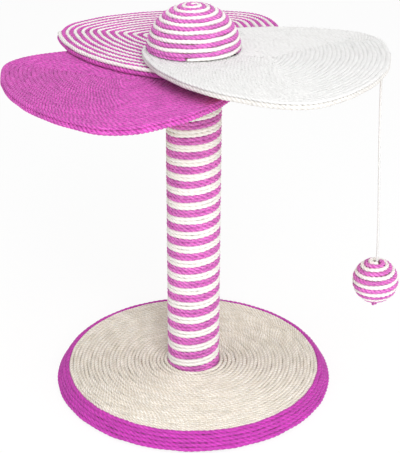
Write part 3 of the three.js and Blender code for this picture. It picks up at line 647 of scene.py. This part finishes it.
def sisal(name, groove, body, light, uneven, rough=0.88):
    """Groove and body are mixed by the depth in the section, so the groove colour is painted shade
    at the bottom of the grooves. Fibres of the light colour are laid over them by the fine noise,
    and the slow noise makes all of it uneven by a share."""
    made, tree = new_material(name)
    straight = add_node(tree, "ShaderNodeAttribute", attribute_name="straight").outputs["Vector"]
    fine_place = add_node(tree, "ShaderNodeMapping", {
        "Vector": straight, "Scale": (1 / BUNDLE_LONG, 1 / BUNDLE_WIDE, 1 / BUNDLE_WIDE)})
    fine = add_node(tree, "ShaderNodeTexNoise", {
        "Vector": fine_place.outputs[0], "Scale": 1.0, "Detail": 3.0, "Roughness": 0.6})
    slow_place = add_node(tree, "ShaderNodeMapping", {
        "Vector": straight, "Scale": (1 / DYE_LONG, 1 / DYE_WIDE, 1 / DYE_WIDE)})
    slow = add_node(tree, "ShaderNodeTexNoise", {
        "Vector": slow_place.outputs[0], "Scale": 1.0, "Detail": 3.0})
    across = add_node(tree, "ShaderNodeMapping", {"Vector": straight, "Scale": (0.0, 1.0, 1.0)})
    depth = add_node(tree, "ShaderNodeVectorMath", {0: across.outputs[0]}, operation="LENGTH")
    crest = add_node(tree, "ShaderNodeMapRange", {
        "Value": depth.outputs["Value"], "From Min": 0.76 * SECTION, "From Max": 0.95 * SECTION})
    # The groove colour is painted shade: it darkens the rope where its section is deepest between strands.
    strand = add_node(tree, "ShaderNodeMix", {
        0: crest.outputs[0], 6: hex_colour(groove), 7: hex_colour(body)}, data_type="RGBA")
    streak = add_node(tree, "ShaderNodeMapRange", {
        "Value": fine.outputs[0], "From Min": 0.42, "From Max": 0.72, "To Max": 0.75})
    fibres = add_node(tree, "ShaderNodeMix", {
        0: streak.outputs[0], 6: strand.outputs[2], 7: hex_colour(light)}, data_type="RGBA")
    shade = add_node(tree, "ShaderNodeMapRange", {
        "Value": slow.outputs[0], "From Min": 0.3, "From Max": 0.7,
        "To Min": 1 - uneven, "To Max": 1 + 0.6 * uneven})
    colour = add_node(tree, "ShaderNodeVectorMath", {
        0: fibres.outputs[2], 1: shade.outputs[0]}, operation="MULTIPLY")
    bump = add_node(tree, "ShaderNodeBump", {
        "Height": fine.outputs[0], "Strength": 0.6, "Distance": 0.5 * MM})
    shader = add_node(tree, "ShaderNodeBsdfPrincipled", {
        "Base Color": colour.outputs[0], "Roughness": rough, "Normal": bump.outputs[0],
        "Specular IOR Level": 0.25, "Sheen Weight": 0.12, "Sheen Roughness": 0.5,
    })
    add_node(tree, "ShaderNodeOutputMaterial", {"Surface": shader.outputs[0]})
    return made


# In every sisal below, the first colour is the painted shade deep in the grooves between strands.
# Dyed and laid flat on the petals: a warm magenta, paler where a bundle of fibres lies on top.
magenta_sisal = sisal("sisal_rope_dyed_magenta", "#9a2a86", "#de49bd", "#ee86d8", 0.14)
# Dyed and wound tight on round things: the stretched fibres stand out in long pink streaks.
wound_sisal = sisal("sisal_rope_dyed_magenta_coarse", "#a43a93", "#e05cc3", "#f6b2e7", 0.14)
# For the base's edge: a deeper and more even magenta, so its rows show by shade alone.
edge_sisal = sisal("sisal_rope_dyed_deep_magenta", "#a22b92", "#c931b3", "#da62ca", 0.12)
# Undyed and wound tight: ivory, nearly even, with soft grey lines of painted shade where the strands meet.
natural_sisal = sisal("sisal_rope_undyed", "#e6e1da", "#efedea", "#f6f5f3", 0.05)
# Undyed, on the base: the same rope as on the post, painted lighter to stand in for the light that
# the petals keep off the base, with straw-coloured painted shade in its grooves, which makes rows
# and flecks of it from afar.
base_sisal = sisal("sisal_rope_undyed_painted_lighter", "#d5cbb8", "#fdfaf3", "#fffdfa", 0.14)
# Bleached and brushed flat: a cool white with the faintest grain.
bleached_sisal = sisal("sisal_rope_bleached", "#d9d8d7", "#e3e3e2", "#e9e9e8", 0.02)
# Bleached but left unshorn on the petal's edge: greyer between its strands with painted shade, and furry.
unshorn_sisal = sisal("sisal_rope_bleached_unshorn", "#d2cec8", "#e3e1dd", "#ecebe9", 0.08)
give(edge_sisal, "base_rope_magenta")
give(wound_sisal, "post_rope_magenta", "dome_rope_magenta", "ball_rope_magenta", "toy_end_knot_rope")
give(magenta_sisal, "petal_low_face_rope", "petal_low_edge_rope")
give(magenta_sisal, "petal_mid_magenta_rope", "petal_mid_edge_rope")
give(base_sisal, "base_rope_natural")
give(natural_sisal, "post_rope_natural", "petal_mid_natural_rope")
give(natural_sisal, "dome_rope_natural", "ball_rope_natural")
give(bleached_sisal, "petal_top_face_rope")
give(unshorn_sisal, "petal_top_edge_rope")

# %% [markdown]
# What doesn't show from the front still has its finish: fibreboard with its fine brown flecks, a
# wound paper tube, turned softwood with rings, needle felt, zinc-plated steel and nylon.

# %% Boards, felt, paper, wood, steel, nylon and cotton
def flecked(name, first, second, fleck, detail, rough, depth, stretch=(1, 1, 1), metal=0.0,
            sheen=0.0):
    """A material of two colours mixed by one noise on Object coordinates. The fleck's size and
    the bump's depth are in millimetres, and stretch is what they are divided by along x, y, z."""
    made, tree = new_material(name)
    place = add_node(tree, "ShaderNodeTexCoord").outputs["Object"]
    mapped = add_node(tree, "ShaderNodeMapping", {"Vector": place, "Scale": stretch})
    noise = add_node(tree, "ShaderNodeTexNoise", {
        "Vector": mapped.outputs[0], "Scale": 1 / (fleck * MM), "Detail": detail, "Roughness": 0.65})
    share = add_node(tree, "ShaderNodeMapRange", {
        "Value": noise.outputs[0], "From Min": 0.35, "From Max": 0.65})
    colour = add_node(tree, "ShaderNodeMix", {
        0: share.outputs[0], 6: hex_colour(first), 7: hex_colour(second)}, data_type="RGBA")
    bump = add_node(tree, "ShaderNodeBump", {
        "Height": noise.outputs[0], "Strength": 0.5, "Distance": depth * MM})
    shader = add_node(tree, "ShaderNodeBsdfPrincipled", {
        "Base Color": colour.outputs[2], "Roughness": rough, "Metallic": metal,
        "Normal": bump.outputs[0], "Sheen Weight": sheen})
    add_node(tree, "ShaderNodeOutputMaterial", {"Surface": shader.outputs[0]})
    return made


# Fibreboard, sawn and sanded: dry brown, with flecks of pressed fibre a millimetre across.
fibreboard = flecked("fibreboard_sanded", "#a98659", "#c8a878", 1.1, 4.0, 0.8, 0.1)
give(fibreboard, "base_board", "petal_low_board", "petal_mid_board", "petal_top_board")
# Paper tube, wound and glued: grey-brown and matt, in low bands.
paper_tube = flecked("paper_tube_wound", "#a58760", "#b99a70", 4.0, 3.0, 0.85, 0.1, (1, 1, 4))
give(paper_tube, "post_tube")
# Softwood, turned: yellow, with the marks of the chisel round it and a low gloss.
softwood = flecked("softwood_turned", "#caa873", "#e0c08c", 17.0, 3.0, 0.6, 0.15, (1, 1, 8))
give(softwood, "post_plug_bottom", "post_plug_top", "dome_core", "toy_ball_core")
# Needle felt: nearly black, with grey fibre ends that catch light at its edge.
felt = flecked("needle_felt_dark", "#2b2b2d", "#4a4a4d", 0.7, 3.0, 0.95, 0.3, sheen=0.3)
give(felt, "base_felt")
# Steel, zinc plated: bright but not a mirror, with the faint spangle of the zinc.
zinc = flecked("steel_zinc_plated", "#b2b6bb", "#c9ccd0", 2.5, 2.0, 0.35, 0.02, metal=1.0)
give(zinc, "base_bolt", "base_washer", "post_tee_nut_bottom", "post_tee_nut_top", "head_stud")
give(zinc, "dome_insert")
# Nylon, moulded: milky white with a soft gloss, hardly mottled.
nylon = flecked("nylon_moulded", "#e2e2dd", "#efefeb", 3.3, 1.0, 0.45, 0.01)
give(nylon, "spacer_post", "spacer_low", "spacer_mid", "spacer_dome")
# Cotton cord, twisted: matt and white, greyer between its yarns.
cotton = flecked("cotton_cord_twisted", "#c3c2c0", "#eaeae8", 0.6, 3.0, 0.9, 0.15, (1, 1, 0.3),
                 sheen=0.2)
give(cotton, "toy_cord_laid", "toy_top_knot_cord")

# %% [markdown]
# Cut sisal never lies quite flat: short fibres stand off every rope, and give the petals' edges
# their furry outline. Each fibre is a thin three-sided needle with one bend, of seven faces. Its
# 0.2 mm is the real thickness. Where a petal or the dome passes over a petal, they are brushed
# down to the height given, as far from the post as is given. The table at the end gives the
# fibres to a metre of rope and their length.

# %% Loose fibres
NEEDLE = np.array([[0, 2, 1, -1], [0, 1, 4, 3], [1, 2, 5, 4], [2, 0, 3, 5],
                   [3, 4, 6, -1], [4, 5, 6, -1], [5, 3, 6, -1]])
FOOT_RADIUS, KNEE_RADIUS = 0.11, 0.085
BRUSHED_BY = {
    "low_petal": (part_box("petal_mid_board")[0].z / MM - 0.1, 1e4),
    "mid_petal": (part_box("petal_top_board")[0].z / MM - 0.1, 1e4),
    "top_petal": (dome_foot - 0.1, DOME_RADIUS + 8),
}


def loose_fibres(name, lines, diameter, per_metre, length_mm, material, body, slot, seed):
    """Needles that leave the rope's surface at random places. A needle's foot is on the surface,
    its middle leans along the rope, and its tip is a point. The floor bends them up, and so does
    what the dome stands on. On a petal, what swings over them has brushed them down."""
    chance = np.random.default_rng(seed)
    feet, heads = [], []
    for path, outward in lines:
        lengths = np.concatenate([[0], np.cumsum(np.linalg.norm(np.diff(path, axis=0), axis=1))])
        count = int(lengths[-1] * MM * per_metre)
        s = chance.uniform(2, lengths[-1] - 2, count)
        place = np.stack([np.interp(s, lengths, path[:, i]) for i in range(3)], 1)
        after = np.stack([np.interp(s + 1, lengths, path[:, i]) for i in range(3)], 1)
        n = np.stack([np.interp(s, lengths, outward[:, i]) for i in range(3)], 1)
        along = unit(after - place)
        n = unit(n - (n * along).sum(1, keepdims=True) * along)
        b = np.cross(along, n)
        t = chance.uniform(-1.3, 1.3, (count, 1))
        side = np.cos(t) * n + np.sin(t) * b
        feet.append(place + side * diameter * 0.44)
        lean = chance.choice([-1.0, 1.0], (count, 1)) * chance.uniform(0.5, 1.6, (count, 1))
        heads.append(unit(side + lean * along + chance.normal(0, 0.35, (count, 3))))
    foot, head = np.concatenate(feet), np.concatenate(heads)
    count = len(foot)
    reach = length_mm * chance.uniform(0.45, 1.0, (count, 1))
    bend = unit(head + chance.normal(0, 0.5, (count, 3)))
    first = unit(np.cross(head, [0.31, 0.52, 0.8]))
    second = np.cross(head, first)
    angle = np.arange(3) * 2 * np.pi / 3
    ring = np.cos(angle)[:, None] * first[:, None] + np.sin(angle)[:, None] * second[:, None]
    knee = foot + 0.55 * reach * head
    tip = knee + 0.45 * reach * bend
    corners = np.concatenate(
        [foot[:, None] + FOOT_RADIUS * ring, knee[:, None] + KNEE_RADIUS * ring, tip[:, None]], 1)
    lowest = dome_foot if name.startswith("dome") else OFF_FLOOR
    highest, within = BRUSHED_BY.get(body, (1e4, 0))
    brushed = np.hypot(corners[..., 0], corners[..., 1]) < within
    height = np.where(brushed, np.minimum(corners[..., 2], highest), corners[..., 2])
    corners[..., 2] = np.maximum(height, lowest)
    faces = np.where(NEEDLE >= 0, NEEDLE + 7 * np.arange(count)[:, None, None], -1).reshape(-1, 4)
    straight = np.zeros((count, 7, 3))
    straight[..., 0] = chance.uniform(0, 900, (count, 7))
    straight[..., 1] = 0.9 * SECTION
    made = make_mesh(name, corners.reshape(-1, 3), faces, straight.reshape(-1, 3))
    made.data.materials.append(material)
    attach(made, body)
    print(name, count, "fibres")


post_dyed, post_pale = post_lines["magenta"], post_lines["natural"]
dome_dyed, dome_pale = dome_lines["magenta"], dome_lines["natural"]
ball_dyed, ball_pale = ball_lines["magenta"], ball_lines["natural"]
low_lines = petal_lines["petal_low_face_rope"] + petal_lines["petal_low_edge_rope"]
mid_lines = petal_lines["petal_mid_magenta_rope"] + petal_lines["petal_mid_edge_rope"]
mid_pale = petal_lines["petal_mid_natural_rope"]
top_lines = petal_lines["petal_top_face_rope"] + 2 * petal_lines["petal_top_edge_rope"]
FIBRES = [
    ("base_loose_natural", [natural_line], BASE_ROPE, 200, 4.5, base_sisal, "stand", "natural_sisal"),
    ("base_loose_magenta", [magenta_line], BASE_ROPE, 160, 2.2, edge_sisal, "stand", "magenta_sisal"),
    ("post_loose_magenta", post_dyed, POST_ROPE, 130, 3.5, wound_sisal, "stand", "magenta_sisal"),
    ("post_loose_natural", post_pale, POST_ROPE, 130, 3.5, natural_sisal, "stand", "natural_sisal"),
    ("petal_low_loose", low_lines, PETAL_ROPE, 150, 4.5, magenta_sisal, "low_petal", "magenta_sisal"),
    ("petal_mid_loose_magenta", mid_lines, PETAL_ROPE, 130, 4, magenta_sisal, "mid_petal", "magenta_sisal"),
    ("petal_mid_loose_natural", mid_pale, PETAL_ROPE, 130, 4, natural_sisal, "mid_petal", "natural_sisal"),
    ("petal_top_loose", top_lines, PETAL_ROPE, 200, 6, bleached_sisal, "top_petal", "bleached_sisal"),
    ("dome_loose_magenta", dome_dyed, DOME_ROPE, 200, 4, wound_sisal, "stand", "magenta_sisal"),
    ("dome_loose_natural", dome_pale, DOME_ROPE, 200, 4, natural_sisal, "stand", "natural_sisal"),
    ("ball_loose_magenta", ball_dyed, BALL_ROPE, 260, 4, wound_sisal, "toy", "magenta_sisal"),
    ("ball_loose_natural", ball_pale, BALL_ROPE, 260, 4, natural_sisal, "toy", "natural_sisal"),
]
for seed, facts in enumerate(FIBRES):
    loose_fibres(*facts, seed + 1)

# %% [markdown]
# The photograph is a shop picture: white all round, soft light from above and in front, and only
# a hint of shadow. The floor is a plain pale plane. To the camera it is mostly white by itself,
# and the matt share that is left takes the shadow. The world is white to the camera and a softer
# light to the object. Metal would mirror the same white, so rays that it sends on count too.

# %% Floor and world
def seen_by_camera(tree):
    """1 for rays from the camera, and for those that come to it by way of gloss or glass."""
    kinds = add_node(tree, "ShaderNodeLightPath").outputs
    direct = add_node(tree, "ShaderNodeMath", {
        0: kinds["Is Camera Ray"], 1: kinds["Is Glossy Ray"]}, operation="MAXIMUM")
    return add_node(tree, "ShaderNodeMath", {
        0: direct.outputs[0], 1: kinds["Is Transmission Ray"]}, operation="MAXIMUM").outputs[0]


FLOOR_HALF = 4000.0
WHITE, FLOOR_MATT = (1, 1, 1, 1), (0.96, 0.96, 0.96, 1)
FLOOR_GLOWS = 0.85  # share of the floor that is white by itself to the camera
WORLD_SOFT, WORLD_WHITE = 0.76, 1.0  # strength for the object, and for the camera
floor_corners = FLOOR_HALF * np.array([[-1.0, -1, 0], [1, -1, 0], [1, 1, 0], [-1, 1, 0]])
floor = make_mesh("floor", floor_corners, np.array([[0, 1, 2, 3]]))
# Painted board, matt: a pale ground that shows where the object stands, and nothing of itself.
floor_material, tree = new_material("floor_painted_pale")
share = add_node(tree, "ShaderNodeMath", {0: seen_by_camera(tree), 1: FLOOR_GLOWS}, operation="MULTIPLY")
matt = add_node(tree, "ShaderNodeBsdfDiffuse", {"Color": FLOOR_MATT})
glow = add_node(tree, "ShaderNodeEmission", {"Color": WHITE, "Strength": 1.0})
mixed = add_node(tree, "ShaderNodeMixShader", {
    0: share.outputs[0], 1: matt.outputs[0], 2: glow.outputs[0]})
add_node(tree, "ShaderNodeOutputMaterial", {"Surface": mixed.outputs[0]})
floor.data.materials.append(floor_material)

world = bpy.data.worlds.new("studio")
bpy.context.scene.world = world
world.use_nodes = True
tree = world.node_tree
tree.nodes.clear()
soft = add_node(tree, "ShaderNodeBackground", {"Color": WHITE, "Strength": WORLD_SOFT})
white = add_node(tree, "ShaderNodeBackground", {"Color": WHITE, "Strength": WORLD_WHITE})
mixed = add_node(tree, "ShaderNodeMixShader", {
    0: seen_by_camera(tree), 1: soft.outputs[0], 2: white.outputs[0]})
add_node(tree, "ShaderNodeOutputWorld", {"Surface": mixed.outputs[0]})

# %% [markdown]
# Two round softboxes: a weak one above, and the main one high in front and to the right, big
# enough that its shadows have no hard edge. Standard is the view that leaves colours as written.

# %% Lamps and view
def lamp(name, place, target, size, watts):
    """A round softbox. Its place, its target and its size are in metres."""
    made = bpy.data.objects.new(name, bpy.data.lights.new(name, "AREA"))
    made.data.shape = "DISK"
    made.data.size = size
    made.data.energy = watts
    made.location = place
    made.rotation_mode = "QUATERNION"
    made.rotation_quaternion = (Vector(target) - Vector(place)).to_track_quat("-Z", "Y")
    bpy.context.scene.collection.objects.link(made)


lamp("softbox_above", (0.5, -0.9, 2.3), (0, 0, 0.3), 1.4, 6)
lamp("softbox_front", (0.45, -2.35, 1.65), (0, 0, 0.2), 2.0, 54)
bpy.context.scene.view_settings.view_transform = "Standard"
